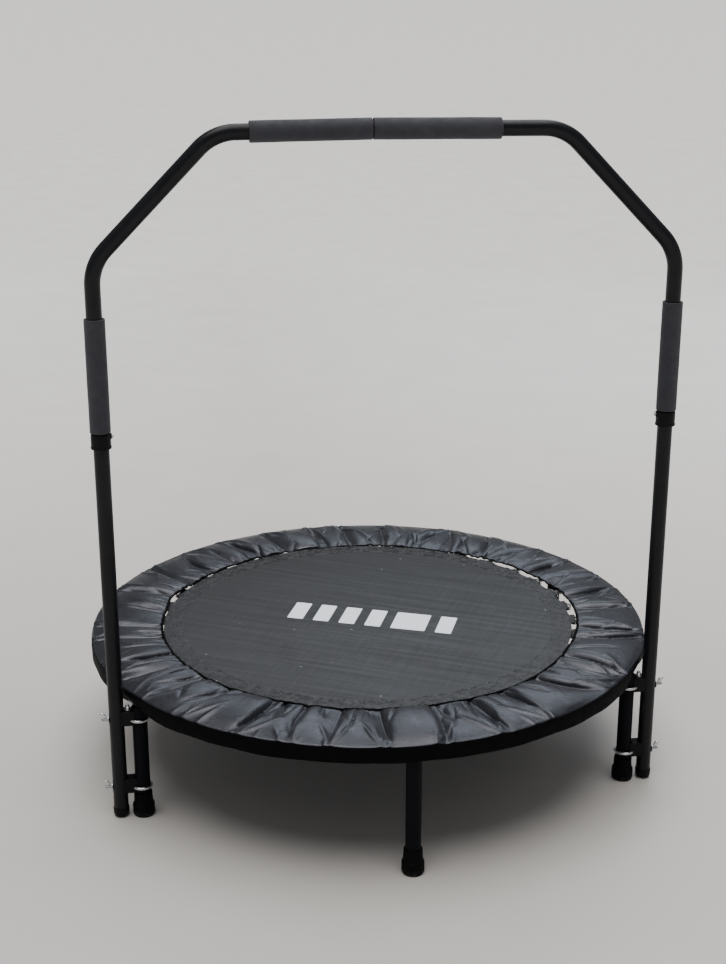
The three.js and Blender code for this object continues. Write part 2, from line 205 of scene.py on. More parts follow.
def sweep(path, radius, sides=16, closed=False):
    """A round wire or tube along points, carried without twist."""
    path = np.array([tuple(p) for p in path], float)
    count = len(path)
    if closed:
        tangents = np.roll(path, -1, axis=0) - np.roll(path, 1, axis=0)
    else:
        tangents = np.gradient(path, axis=0)
    tangents /= np.linalg.norm(tangents, axis=1)[:, None]
    start = np.array([0.0, 0.0, 1.0]) if abs(tangents[0][2]) < 0.9 else np.array([0.0, 1.0, 0.0])
    normal = start - tangents[0] * (start @ tangents[0])
    turn = np.arange(sides) * TAU / sides
    points = np.zeros((count, sides, 3))
    for i in range(count):
        normal = normal - tangents[i] * (normal @ tangents[i])
        normal /= np.linalg.norm(normal)
        side = np.cross(tangents[i], normal)
        ring = np.cos(turn)[:, None] * normal + np.sin(turn)[:, None] * side
        points[i] = path[i] + radius * ring
    faces = []
    for i in range(count if closed else count - 1):
        n = (i + 1) % count
        for k in range(sides):
            m = (k + 1) % sides
            faces.append([i * sides + k, i * sides + m, n * sides + m, n * sides + k])
    if not closed:
        faces.append(list(range(sides))[::-1])
        faces.append([(count - 1) * sides + k for k in range(sides)])
    return points.reshape(-1, 3), faces


def bent(corners, bend_radius, steps=16):
    """Straight runs joined by arcs, as points."""
    corners = [Vector(c) for c in corners]
    out = [corners[0]]
    for before, here, after in zip(corners, corners[1:], corners[2:]):
        inward = (before - here).normalized()
        outward = (after - here).normalized()
        half = (math.pi - inward.angle(outward)) / 2
        setback = bend_radius * math.tan(half)
        middle = here + (inward + outward).normalized() * (bend_radius / math.cos(half))
        start = here + inward * setback - middle
        end = here + outward * setback - middle
        for k in range(steps + 1):
            t = k / steps
            arm = start * math.sin((1 - t) * 2 * half) + end * math.sin(t * 2 * half)
            out.append(middle + arm / math.sin(2 * half))
    out.append(corners[-1])
    return out


def slab(outline, thickness, bevel, steps=3):
    """A flat outline in XY, given counter-clockwise, as a plate about z = 0 with rounded edges."""
    outline = np.array(outline, float)
    ahead = np.roll(outline, -1, axis=0) - outline
    behind = outline - np.roll(outline, 1, axis=0)
    ahead /= np.linalg.norm(ahead, axis=1)[:, None]
    behind /= np.linalg.norm(behind, axis=1)[:, None]
    along = ahead + behind
    along /= np.linalg.norm(along, axis=1)[:, None]
    outward = np.stack([along[:, 1], -along[:, 0]], 1)
    levels = []
    for k in range(steps + 1):
        a = k / steps * math.pi / 2
        levels.append((bevel * (1 - math.sin(a)), -thickness / 2 + bevel * (1 - math.cos(a))))
    levels += [(inset, -z) for inset, z in reversed(levels)]
    count = len(outline)
    points = [np.concatenate([outline - outward * i, np.full((count, 1), z)], 1) for i, z in levels]
    faces = [list(range(count))[::-1]]
    for row in range(len(levels) - 1):
        for k in range(count):
            n = (k + 1) % count
            faces.append([row * count + k, row * count + n, (row + 1) * count + n, (row + 1) * count + k])
    faces.append([(len(levels) - 1) * count + k for k in range(count)])
    return np.concatenate(points), faces


def grid_faces(around, across):
    """Faces of a closed loop of columns, each with the same number of rows."""
    i, j = np.meshgrid(np.arange(around), np.arange(across - 1), indexing="ij")
    a = i * across + j
    b = ((i + 1) % around) * across + j
    return np.stack([a, b, b + 1, a + 1], -1).reshape(-1, 4)


# ---- objects -------------------------------------------------------
def new_object(name, data):
    obj = bpy.data.objects.new(name, data)
    bpy.context.collection.objects.link(obj)
    return obj


def mesh_object(name, shape):
    points, faces = shape
    mesh = bpy.data.meshes.new(name)
    mesh.from_pydata([tuple(p) for p in points], [], [tuple(int(v) for v in f) for f in faces])
    return new_object(name, mesh)


def outward_normals(mesh):
    bm = bmesh.new()
    bm.from_mesh(mesh)
    bmesh.ops.recalc_face_normals(bm, faces=bm.faces)
    bm.to_mesh(mesh)
    bm.free()


def apply_modifiers(obj):
    graph = bpy.context.evaluated_depsgraph_get()
    mesh = bpy.data.meshes.new_from_object(obj.evaluated_get(graph))
    obj.modifiers.clear()
    obj.data = mesh


def combine(shape, operation, tool):
    """One shape joined with or cut by another, as an object's mesh."""
    first = mesh_object("first", shape)
    second = mesh_object("second", tool)
    for obj in (first, second):
        outward_normals(obj.data)
    modifier = first.modifiers.new("combine", "BOOLEAN")
    modifier.operation = operation
    modifier.solver = "EXACT"
    modifier.object = second
    apply_modifiers(first)
    points = np.array([v.co[:] for v in first.data.vertices], float).reshape(-1, 3)
    faces = [list(p.vertices) for p in first.data.polygons]
    bpy.data.objects.remove(first)
    bpy.data.objects.remove(second)
    return points, faces


def dress(obj, body, slot, nodes=(), sharp=35):
    """Shading, finish, body and the CAD nodes that the object stands for."""
    outward_normals(obj.data)
    obj.data.shade_smooth()
    obj.data.set_sharp_from_angle(angle=math.radians(sharp))
    obj.data.materials.clear()
    obj.data.materials.append(MATERIALS[slot])
    if body:
        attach(obj, body)
    if nodes:
        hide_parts(*nodes)
    return obj


def piece(name, shape, body, slot, nodes=(), sharp=35):
    return dress(mesh_object(name, shape), body, slot, nodes, sharp)


# ---- materials: colour, roughness and relief from procedural nodes -
WEAVE_TURN = math.radians(28)


class Finish:
    """A material and small helpers that add nodes to it. Textures are laid in metres on the object."""

    def __init__(self, name, **constants):
        self.material = bpy.data.materials.new(name)
        self.material.use_nodes = True
        self.nodes = self.material.node_tree.nodes
        self.links = self.material.node_tree.links
        self.shader = self.nodes["Principled BSDF"]
        self.feed(self.shader, constants)
        self.place = self.nodes.new("ShaderNodeTexCoord").outputs["Object"]

    def put(self, socket, value):
        """Sets a socket to a number, a colour or vector, or another node's output."""
        if isinstance(value, tuple):
            socket.default_value = value + (1,) * (len(socket.default_value) - len(value))
        elif isinstance(value, (int, float)):
            socket.default_value = value
        else:
            self.links.new(value, socket)

    def feed(self, node, inputs):
        for name, value in inputs.items():
            self.put(node.inputs[name.replace("_", " ")], value)

    def add(self, kind, **inputs):
        node = self.nodes.new("ShaderNode" + kind)
        self.feed(node, inputs)
        return node

    def laid(self, stretch=(1, 1, 1), turn=0.0):
        """Coordinates turned about Z and stretched, for grain that runs one way."""
        rotated = self.add("Mapping", Vector=self.place, Rotation=(0.0, 0.0, turn))
        return self.add("Mapping", Vector=rotated.outputs["Vector"], Scale=stretch).outputs["Vector"]

    def noise(self, scale, detail=3.0, roughness=0.5, vector=None):
        place = vector or self.place
        node = self.add("TexNoise", Vector=place, Scale=scale, Detail=detail, Roughness=roughness)
        return node.outputs["Fac"]

    def cells(self, scale):
        return self.add("TexVoronoi", Vector=self.place, Scale=scale).outputs["Distance"]

    def wave(self, scale, vector):
        return self.add("TexWave", Vector=vector, Scale=scale).outputs["Fac"]

    def weave(self):
        """The crossing threads of the mat."""
        warp = self.wave(330, self.laid((1, 0, 0), WEAVE_TURN))
        weft = self.wave(330, self.laid((0, 1, 0), WEAVE_TURN))
        return self.maths("MULTIPLY", warp, weft)

    def spread(self, source, start, end, to_start=0.0, to_end=1.0):
        node = self.add("MapRange", Value=source, From_Min=start, From_Max=end,
                        To_Min=to_start, To_Max=to_end)
        return node.outputs["Result"]

    def maths(self, operation, a, b):
        node = self.add("Math")
        node.operation = operation
        self.put(node.inputs[0], a)
        self.put(node.inputs[1], b)
        return node.outputs["Value"]

    def mix(self, share, a, b):
        """Colour a where share is 0, b where it is 1."""
        node = self.add("Mix", Factor=share)
        node.data_type = "RGBA"
        self.put(node.inputs[6], a)
        self.put(node.inputs[7], b)
        return node.outputs[2]

    def along(self, axis):
        """The position along an axis, for dust and for painted shade and light that depend on it."""
        return self.add("SeparateXYZ", Vector=self.place).outputs[axis]

    def colour(self, output):
        self.feed(self.shader, {"Base Color": output})

    def roughness(self, output):
        self.feed(self.shader, {"Roughness": output})

    def uneven_roughness(self, scale, detail, smooth, rough, noise_roughness=0.5):
        source = self.noise(scale, detail, noise_roughness)
        self.roughness(self.spread(source, 0.3, 0.7, smooth, rough))

    def relief(self, *layers):
        """Bump layers of (height, depth in metres, strength), one on another."""
        normal = {}
        for source, depth, strength in layers:
            node = self.add("Bump", Distance=depth, Strength=strength, Height=source, **normal)
            normal = {"Normal": node.outputs["Normal"]}
        self.feed(self.shader, normal)
        return self.material


def powder_coat(name, specular):
    f = Finish(name, Specular_IOR_Level=specular)
    body = f.mix(f.noise(9, 4), (0.0040, 0.0044, 0.0058), (0.0080, 0.0087, 0.0112))
    scratch = f.noise(60, 2, 0.4, f.laid((1, 1, 0.05)))
    scuffed = f.maths("MULTIPLY", f.spread(scratch, 0.70, 0.76), f.spread(f.noise(14, 2), 0.5, 0.62))
    f.colour(f.mix(f.maths("MULTIPLY", scuffed, 0.5), body, (0.10, 0.10, 0.105)))
    f.uneven_roughness(38, 4, 0.30, 0.44)
    return f.relief((f.noise(750, 2), 0.00006, 0.5), (f.noise(2600, 1), 0.00002, 0.4))


def zinc(name, tone, rough):
    f = Finish(name, Metallic=1.0)
    bright = tuple(min(1.0, t * 1.22) for t in tone)
    body = f.mix(f.noise(160, 4, 0.6), tone, bright)
    dull = f.spread(f.noise(420, 3, 0.6), 0.56, 0.72)
    f.colour(f.mix(f.maths("MULTIPLY", dull, 0.6), body, tuple(t * 0.55 for t in tone)))
    f.uneven_roughness(300, 4, rough, rough + 0.16, 0.6)
    return f.relief((f.noise(900, 2), 0.00005, 0.35))


def plastic():
    f = Finish("moulded_plastic", Specular_IOR_Level=0.12)
    f.colour(f.mix(f.noise(70, 4), (0.0030, 0.0030, 0.0033), (0.0075, 0.0073, 0.0076)))
    f.uneven_roughness(180, 4, 0.38, 0.56)
    return f.relief((f.noise(1500, 3), 0.00005, 0.5), (f.noise(120, 2), 0.0002, 0.12))


def rubber():
    f = Finish("foot_rubber", Specular_IOR_Level=0.08)
    body = f.mix(f.noise(60, 4), (0.0018, 0.0018, 0.0020), (0.0040, 0.0039, 0.0038))
    low_down = f.spread(f.along("Z"), 0.012, 0.0, 0.0, 0.55)
    dust = f.maths("MULTIPLY", low_down, f.spread(f.noise(260, 4, 0.7), 0.42, 0.7))
    f.colour(f.mix(dust, body, (0.10, 0.095, 0.088)))
    f.uneven_roughness(140, 3, 0.52, 0.78)
    return f.relief((f.noise(1100, 3), 0.00008, 0.5), (f.noise(90, 2), 0.0003, 0.15))


def foam():
    f = Finish("grip_foam", Sheen_Weight=0.08, Sheen_Roughness=0.6, Specular_IOR_Level=0.3)
    body = f.mix(f.noise(34, 5, 0.6), (0.0225, 0.0230, 0.0290), (0.0430, 0.0440, 0.0540))
    patches = f.spread(f.noise(26, 4, 0.65), 0.60, 0.72)
    rubbed = f.maths("MULTIPLY", patches, f.spread(f.noise(500, 3), 0.42, 0.62))
    f.colour(f.mix(f.maths("MULTIPLY", rubbed, 0.45), body, (0.085, 0.085, 0.088)))
    f.uneven_roughness(80, 3, 0.70, 0.88)
    pores = f.cells(1150)
    return f.relief((f.noise(60, 3), 0.0006, 0.35), (pores, 0.00022, 0.8))


def mat_weave(name, tone):
    """Tight woven tape cloth: fine crossing threads, faint streaks along them, and a little lint."""
    f = Finish(name, Specular_IOR_Level=0.36)
    dark = tuple(t * 0.60 for t in tone)
    light = tuple(t * 1.50 for t in tone)
    along = f.noise(90, 4, 0.65, f.laid((0.04, 1, 1), WEAVE_TURN))
    across = f.noise(240, 3, 0.6, f.laid((1, 0.06, 1), WEAVE_TURN))
    streaks = f.maths("ADD", f.maths("MULTIPLY", along, 0.7), f.maths("MULTIPLY", across, 0.3))
    worn = f.mix(f.spread(streaks, 0.35, 0.66), dark, light)
    cloudy = f.mix(f.spread(f.noise(7, 3), 0.38, 0.66, 0.0, 0.5), worn, tuple(t * 1.35 for t in tone))
    # Painted shade: the mat's colour grows darker towards its far side.
    far_painted_shade = f.mix(f.spread(f.along("Y"), -0.05, 0.32, 0.0, 0.9), cloudy, tuple(t * 0.22 for t in tone))
    lint = f.spread(f.cells(21), 0.05, 0.02)
    f.colour(f.mix(f.maths("MULTIPLY", lint, 0.55), far_painted_shade, (0.42, 0.42, 0.43)))
    f.roughness(f.spread(streaks, 0.36, 0.64, 0.60, 0.44))
    return f.relief((f.weave(), 0.00025, 0.55), (f.noise(180, 3), 0.0003, 0.10))


def cover_cloth():
    """Satin polyester: navy black, a soft sheen, a fine twill and small puckers."""
    f = Finish("cover_cloth", Sheen_Weight=0.04, Sheen_Roughness=0.35, Sheen_Tint=(0.72, 0.78, 0.95),
               Specular_IOR_Level=0.54, Specular_Tint=(0.86, 0.88, 1.0))
    body = f.mix(f.noise(16, 5, 0.6), (0.0018, 0.0021, 0.0034), (0.0050, 0.0056, 0.0084))
    dusty = f.spread(f.noise(480, 4, 0.7), 0.60, 0.78, 0.0, 0.25)
    f.colour(f.mix(dusty, body, (0.026, 0.028, 0.036)))
    f.uneven_roughness(60, 4, 0.25, 0.36)
    twill = f.wave(420, f.laid((1, 1, 0.6), math.radians(35)))
    puckers = (f.noise(75, 2, 0.5), 0.0016, 0.16)
    return f.relief(puckers, (f.noise(230, 2), 0.0005, 0.08), (twill, 0.00012, 0.3))


def cover_band_painted_shade():
    """The band that holds the cover on the tube: the same cloth in a matt binding, its colour also
    darkened as painted shade for the side that faces away from the light and for the inner edge.
    """
    f = Finish("cover_band_painted_shade", Specular_IOR_Level=0.05)
    f.colour(f.mix(f.noise(40, 5, 0.6), (0.0012, 0.0013, 0.0016), (0.0030, 0.0031, 0.0036)))
    f.uneven_roughness(90, 4, 0.58, 0.74)
    rib = f.wave(420, f.laid((0.25, 0.25, 1)))
    return f.relief((f.noise(60, 3), 0.0009, 0.25), (rib, 0.00012, 0.35))


def print_ink():
    """Screen-printed ink, slightly broken by the weave under it."""
    f = Finish("print_ink")
    worn = f.spread(f.noise(420, 4, 0.7), 0.60, 0.74)
    f.colour(f.mix(f.maths("MULTIPLY", worn, 0.55), (0.80, 0.85, 0.92), (0.34, 0.35, 0.38)))
    f.uneven_roughness(90, 3, 0.42, 0.56)
    return f.relief((f.weave(), 0.00015, 0.45))


def thread():
    f = Finish("thread")
    f.colour(f.mix(f.spread(f.noise(110, 3), 0.40, 0.60), (0.004, 0.004, 0.005), (0.26, 0.265, 0.28)))
    f.uneven_roughness(300, 3, 0.5, 0.7)
    return f.relief((f.wave(900, f.laid((1, 1, 1))), 0.00008, 0.5))


def webbing():
    f = Finish("webbing")
    f.colour(f.mix(f.noise(120, 4, 0.6), (0.0075, 0.0075, 0.0080), (0.0170, 0.0170, 0.0180)))
    f.uneven_roughness(160, 3, 0.60, 0.78)
    return f.relief((f.wave(500, f.laid((1, 1, 0))), 0.00015, 0.5))


MATERIALS = {
    "frame_paint": powder_coat("powder_coat", 0.20),
    # The legs get a copy of the powder coat that reflects less: painted shade for the legs in the shadow
    # under the trampoline.
    "frame_paint:leg": powder_coat("powder_coat_leg_shaded", 0.04),
    "zinc": zinc("zinc_plate", (0.55, 0.56, 0.57), 0.20),
    "spring_steel": zinc("spring_steel", (0.46, 0.47, 0.48), 0.24),
    "black_plastic": plastic(),
    "foot_rubber": rubber(),
    "grip_foam": foam(),
    "mat_weave": mat_weave("mat_weave", (0.0165, 0.0174, 0.0200)),
    "mat_weave:webbing": webbing(),
    "mat_weave:thread": thread(),
    "mat_weave:print": print_ink(),
    "cover_cloth": cover_cloth(),
}
# Darker band cloth: a matt binding whose darkness is partly painted shade.
COVER_BAND_SHADED = cover_band_painted_shade()


# ---- camera, floor and light ---------------------------------------
def aim(obj, direction):
    obj.rotation_euler = Vector(direction).to_track_quat("-Z", "Y").to_euler()


def camera():
    data = bpy.data.cameras.new("camera")
    data.lens = 56.65
    data.sensor_width = 36
    data.clip_end = 1000
    cam = new_object("camera", data)
    cam.location = (-0.3852, -2.5640, 1.3510)
    aim(cam, (0.13792, 0.93968, -0.31299))
    bpy.context.scene.camera = cam


def floor():
    reach = 300
    corners = [(-reach, -reach, 0), (reach, -reach, 0), (reach, reach, 0), (-reach, reach, 0)]
    obj = mesh_object("floor", (corners, [(0, 1, 2, 3)]))
    f = Finish("floor")
    body = f.mix(f.noise(1.3, 3), (0.500, 0.478, 0.452), (0.540, 0.518, 0.493))
    # Painted light: the floor's colour grows lighter away from the trampoline, standing in for a brighter
    # lit room further back.
    away = f.maths("ADD", f.maths("ABSOLUTE", f.along("X"), 0), f.maths("ABSOLUTE", f.along("Y"), 0))
    f.colour(f.mix(f.spread(away, 0.8, 5.5), body, (0.93, 0.92, 0.90)))
    f.uneven_roughness(5, 3, 0.45, 0.6)
    obj.data.materials.append(f.material)


def light(kind, name, direction, power, colour):
    data = bpy.data.lights.new(name, kind)
    data.energy = power
    data.color = colour
    obj = new_object(name, data)
    aim(obj, direction)
    return obj


def area_light(name, place, target, size, power, colour=(1, 1, 1)):
    obj = light("AREA", name, Vector(target) - Vector(place), power, colour)
    obj.location = place
    obj.data.shape = "RECTANGLE"
    obj.data.size, obj.data.size_y = size


def room():
    world = bpy.data.worlds.new("world")
    bpy.context.scene.world = world
    world.use_nodes = True
    background = world.node_tree.nodes["Background"]
    background.inputs["Color"].default_value = (0.86, 0.87, 0.90, 1)
    background.inputs["Strength"].default_value = 0.29
    # A very soft light that doesn't fall off across the floor.
    sky = light("SUN", "sky_window", (0.05, 0.05, -1.0), 3.2, (1.0, 0.985, 0.965))
    sky.data.angle = math.radians(55)
    area_light("ceiling", (0.3, 0.9, 2.9), (0.1, 0.0, 0.2), (2.0, 1.2), 24)
    area_light("back_window", (1.0, 2.9, 2.6), (0, 0, 0.2), (2.4, 1.2), 26, (0.82, 0.90, 1.0))


camera()
floor()
room()


# ---- frame, legs and feet ------------------------------------------
def ring_tube(ring_r, tube_r, height, sides, segments):
    """A round tube or wire bent to a ring about Z."""
    profile = []
    for k in range(sides):
        a = k * TAU / sides
        profile.append((ring_r + tube_r * math.cos(a), height + tube_r * math.sin(a)))
    return lathe(profile, segments, closed=True)


def frame_ring():
    ring = ring_tube(FRAME_R, TUBE_R, FRAME_Z, 32, 288)
    drill = lathe(mm((0, 0), (2.5, 0), (2.5, 13), (0, 13)), 12)
    start = Matrix.Translation((FRAME_R - TUBE_R - 2 * MM, 0, 0))
    holes = [moved(drill, at_spring(i, SPRING_Z) @ start @ TO_X) for i in range(SPRING_COUNT)]
    shape = combine(ring, "DIFFERENCE", joined(*holes))
    piece("frame_tube", shape, "frame", "frame_paint", ["frame_ring"])


def legs():
    for i, name in enumerate(LEG_NAMES):
        leg, foot = f"leg_{name}", f"foot_{name}"
        place = Matrix.Translation(polar(leg_angle(i), FRAME_R))
        top = high(leg).z
        tube = pipe(TUBE_R, TUBE_R - FRAME_WALL, low(leg).z, top, 0.5 * MM, 64)
        bush = lathe(mm((0, -23), (11.2, -23), (11.2, -0.6), (0, -0.6), height=top), 48)
        piece(f"leg_tube_{name}", moved(joined(tube, bush), place), "frame", "frame_paint:leg", [leg])

        collar_r = TUBE_R + 2.6 * MM
        wide = half_size(foot).x
        rim = high(foot).z
        sole = mm((-6, 0.6), (-5, 0, 0.4), (-2.2, 0, 1), (0, 3.4, 1.6), radius=wide)
        step = mm((0, -1, 1.6), radius=wide, height=rim / 2)
        step += mm((0.9, 1.8, 1), radius=collar_r, height=rim / 2)
        neck = mm((0, 0, 1.2), radius=collar_r, height=rim) + mm((0.3, 0, 0.4), radius=TUBE_R, height=rim)
        socket = mm((0.3, 5), radius=TUBE_R) + mm((0, 5))
        boot = lathe(rounded(mm((0, 0.6)) + sole + step + neck + socket), 64)
        piece(f"foot_boot_{name}", moved(boot, place), "frame", "foot_rubber", [foot])


# ---- handle --------------------------------------------------------
def handle_tube(side, name, node, body):
    radius = half_size(node).x
    shape = pipe(radius, radius - HANDLE_WALL, low(node).z, high(node).z, 0.4 * MM, 64)
    piece(f"{name}_{side}", moved(shape, on_side(side, UPRIGHT_X)), body, "frame_paint", [node])


def uprights(side):
    handle_tube(side, "upright_tube", f"upright_{side}", "frame")

    cap = f"upright_cap_{side}"
    floor_z, rim = low(cap).z, high(cap).z
    outer = half_size(cap).x
    bore = UPRIGHT_R + 0.25 * MM
    outside = mm((-2.4, 0, 0.8), (-0.5, 2.6, 1.4), radius=outer, height=floor_z)
    edge = [(outer, rim, 0.5 * MM), (bore, rim, 0.2 * MM)]
    inside = [(bore, floor_z + 2 * MM), (0, floor_z + 2 * MM)]
    shape = lathe(rounded([(0, floor_z), *outside, *edge, *inside]), 64)
    shape = moved(shape, on_side(side, UPRIGHT_X))
    piece(f"upright_end_cap_{side}", shape, "frame", "black_plastic", [cap])

    handle_tube(side, "sliding_tube", f"inner_tube_{side}", "handle")


def collar(side):
    node = f"height_collar_{side}"
    radius = half_size(node).y
    bottom, top = low(node).z, high(node).z
    bore = UPRIGHT_R - HANDLE_WALL
    lower = mm((0, 0, 0.8), (0, 3.2, 0.6), (-0.7, 4.6, 0.8), radius=radius, height=bottom)
    upper = mm((-0.7, -3), (-1.6, 0, 1.2), radius=radius, height=top)
    section = [(bore, bottom, 0.3 * MM), *lower, *upper, (bore, top, 0.5 * MM)]
    ring = lathe(rounded(section, closed=True), 72, closed=True)

    screw = f"height_screw_{side}"
    reach = 17.4 * MM
    base = mm((0, 1), (5.6, 1), height=bore)
    face = mm((4.8, 0, 0.9), (2.4, 0, 0.3), (2.4, -1), (0, -1), height=reach)
    boss = lathe(rounded(base + face), 40)
    lie = Matrix.Translation((0, 0, centre(screw).z)) @ Matrix.Rotation(math.pi, 4, "Z") @ TO_X
    shape = combine(ring, "UNION", moved(boss, lie))
    piece(f"collar_{side}", moved(shape, on_side(side, UPRIGHT_X)), "frame", "black_plastic", [node])

    head = mm((1.8, 0.3), (3.2, 0.3, 0.2), (3.2, 1.4, 0.6), (2.1, 2.5, 0.5), (0, 2.5), height=reach)
    body = lathe(rounded(mm((0, 11.3), (1.8, 11.3)) + head), 40)
    slot = slab(mm((-0.4, -5), (0.4, -5), (0.4, 5), (-0.4, 5)), 1.8 * MM, 0.1 * MM)
    shape = combine(body, "DIFFERENCE", moved(slot, Matrix.Translation((0, 0, reach + 2.5 * MM))))
    shape = moved(shape, on_side(side, UPRIGHT_X) @ lie)
    piece(f"collar_screw_{side}", shape, screw, "zinc", [screw])


ARCH_LOW_CORNER = 944 * MM
ARCH_TOP_CORNER = 1138 * MM
ARCH_CORNER_X = 270 * MM
ARCH_BEND = 80 * MM
ARCH_SEAM_X = -30 * MM
ARCH_PEAK_Z = centre("arch_joiner").z


def arch(side):
    node = f"arch_half_{side}"
    seam = ARCH_SEAM_X * math.cos(SIDES[side])
    path = bent([
        (UPRIGHT_X, 0, low(node).z), (UPRIGHT_X, 0, ARCH_LOW_CORNER), (ARCH_CORNER_X, 0, ARCH_TOP_CORNER),
        (seam + 0.15 * MM, 0, ARCH_PEAK_Z)], ARCH_BEND, 20)
    shape = sweep(path, UPRIGHT_R, 48)
    piece(f"arch_tube_{side}", moved(shape, on_side(side)), "handle", "frame_paint", [node])


def grip_shape(length, radius, seed):
    """A foam sleeve: softened ends, and a surface that is never quite even."""
    bore = 12.75 * MM
    points, faces = pipe(radius, bore, 0, length, 2.2 * MM, 72, rings=60)
    for i, p in enumerate(points):
        r = math.hypot(p[0], p[1])
        if r < bore + 1 * MM:
            continue
        spot = Vector((p[0] * 22, p[1] * 22, p[2] * 22 + seed))
        fine = Vector((p[0] * 70, p[1] * 70, p[2] * 70 + seed))
        swell = 0.22 * MM * noise.noise(spot) + 0.10 * MM * noise.noise(fine)
        points[i][:2] *= (r + swell) / r
    return points, faces


def grips(side):
    node = f"side_grip_{side}"
    bottom, top = low(node).z, high(node).z
    radius = half_size(node).y
    shape = moved(grip_shape(top - bottom, radius, 3.0), on_side(side, UPRIGHT_X, bottom))
    piece(f"side_foam_{side}", shape, "handle", "grip_foam", [node])

    node = f"bar_grip_{side}"
    seam = ARCH_SEAM_X * math.cos(SIDES[side])
    slope = math.atan2(ARCH_PEAK_Z - ARCH_TOP_CORNER, ARCH_CORNER_X - seam)
    length = half_size(node).x * 2 / math.cos(slope)
    bar = on_side(side, seam, ARCH_PEAK_Z) @ Matrix.Rotation(math.pi / 2 + slope, 4, "Y")
    shape = moved(grip_shape(length, radius, 9.0), bar @ Matrix.Translation((0, 0, 0.9 * MM)))
    piece(f"bar_foam_{side}", shape, "handle", "grip_foam", [node])


# ---- clamps --------------------------------------------------------
EYE_R = 15.8 * MM
WIRE_R = 2.5 * MM


def eye_bolt(side, level):
    node = f"eye_bolt_{level}_{side}"
    place = on_side(side, LEG_X, centre(node).z)
    ring = ring_tube(EYE_R, WIRE_R, 0, 20, 96)
    end = half_size(node).x * 2 - EYE_R - WIRE_R
    thread_start = end - 22 * MM
    pitch = 0.8 * MM
    shank = [(0, EYE_R - 0.5 * MM), (WIRE_R * 0.98, EYE_R - 0.5 * MM), (WIRE_R * 0.98, thread_start)]
    z = thread_start
    while z < end - 2 * pitch:
        shank += [(WIRE_R * 0.86, z + pitch / 2), (WIRE_R, z + pitch)]
        z += pitch
    shank += [(WIRE_R * 0.7, end), (0, end)]
    shape = combine(ring, "UNION", moved(lathe(shank, 24), TO_X))
    piece(f"bolt_{level}_{side}", moved(shape, place), "frame", "zinc", [node], sharp=40)


def block_outline():
    """Between leg and upright, hollowed to both tubes, seen from above with +X outward."""
    half = 10.5 * MM
    gap = 0.3 * MM
    offset = UPRIGHT_X - LEG_X
    depths = [half * (1 - k / 6) for k in range(13)]
    leg_side = [(math.sqrt((TUBE_R + gap) ** 2 - y ** 2), y) for y in depths]
    upright_side = [(offset - math.sqrt((UPRIGHT_R + gap) ** 2 - y ** 2), -y) for y in depths]
    start, end = 15 * MM, offset - 14.5 * MM
    return [*leg_side, (start, -half), (end, -half), *upright_side, (end, half), (start, half)]


def saddle_block(side, level):
    node = f"saddle_block_{level}_{side}"
    middle = centre(node).z
    body = slab(block_outline(), half_size(node).z * 2, 1.1 * MM)
    bolt = Matrix.Translation((0, 0, centre(f"eye_bolt_{level}_{side}").z - middle))
    groove = lathe(mm((0, 0), (2.9, 0), (2.9, 60), (0, 60)), 24)
    shape = combine(body, "DIFFERENCE", moved(groove, bolt @ TO_X))
    shape = moved(shape, on_side(side, LEG_X, middle))
    piece(f"clamp_block_{level}_{side}", shape, "frame", "black_plastic", [node])


def washer(side, level):
    node = f"washer_{level}_{side}"
    seat = half_size(node).x
    radius = half_size(node).y
    flat = rounded([(2.7 * MM, -seat, 0.15 * MM), (radius, -seat, 0.3 * MM), (radius, seat, 0.3 * MM),
                    (2.7 * MM, seat, 0.15 * MM)], closed=True)
    place = on_side(side, abs(centre(node).x), centre(node).z) @ TO_X
    shape = moved(lathe(flat, 48, closed=True), place)
    piece(f"clamp_washer_{level}_{side}", shape, "frame", "zinc", [node])


def smooth_loop(points, steps=5):
    """A closed curve through points."""
    out = []
    count = len(points)
    for i in range(count):
        a, b, c, d = (Vector(points[(i + k) % count]) for k in (-1, 0, 1, 2))
        for k in range(steps):
            t = k / steps
            out.append(tuple(0.5 * (2 * b + (c - a) * t + (2 * a - 5 * b + 4 * c - d) * t ** 2
                                    + (3 * b - a - 3 * c + d) * t ** 3)))
    return out


def wing_nut(side, level):
    node = f"wing_nut_{level}_{side}"
    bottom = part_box(node)[0][0] if side == "right" else -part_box(node)[1][0]
    hub = mm((2.6, 0, 0.3), (5.6, 0, 0.6), (5.3, 3, 0.8), (4.3, 9, 0.9), (2.6, 9, 0.3))
    shape = lathe(rounded(hub, closed=True), 48, closed=True)
    corners = mm((3.2, 1.8), (8, 3.4), (12, 6.8), (12.6, 11), (10.4, 13), (7.6, 11.6), (3.2, 7.4))
    wing = slab(smooth_loop(corners), 3.2 * MM, 1.3 * MM)
    wing = moved(wing, Matrix.Rotation(math.pi / 2, 4, "X"))
    for turn in (0, math.pi):
        shape = combine(shape, "UNION", moved(wing, Matrix.Rotation(turn, 4, "Z")))
    place = on_side(side, bottom, centre(node).z) @ TO_X
    piece(f"wing_{level}_{side}", moved(shape, place), node, "zinc", [node], sharp=50)


def block_stud(side):
    node = f"block_stud_{side}"
    bottom, top = low(node).z, high(node).z
    seat = top - 10.2 * MM
    shank = [(0, bottom), (2 * MM, bottom), (2 * MM, seat)]
    nut = mm((6, 0, 0.3), (6, 1.3, 0.3), (4.3, 1.4), (4.3, 4.6, 0.5), (3.6, 5.2, 0.3), height=seat)
    dome = mm((3.4, 7.6, 1.6), height=seat) + mm((1.4, 0, 1), (0, 0), height=top)
    shape = lathe(rounded(shank + nut + dome), 48)
    place = on_side(side, abs(centre(node).x))
    piece(f"block_bolt_{side}", moved(shape, place), "frame", "zinc", [node])


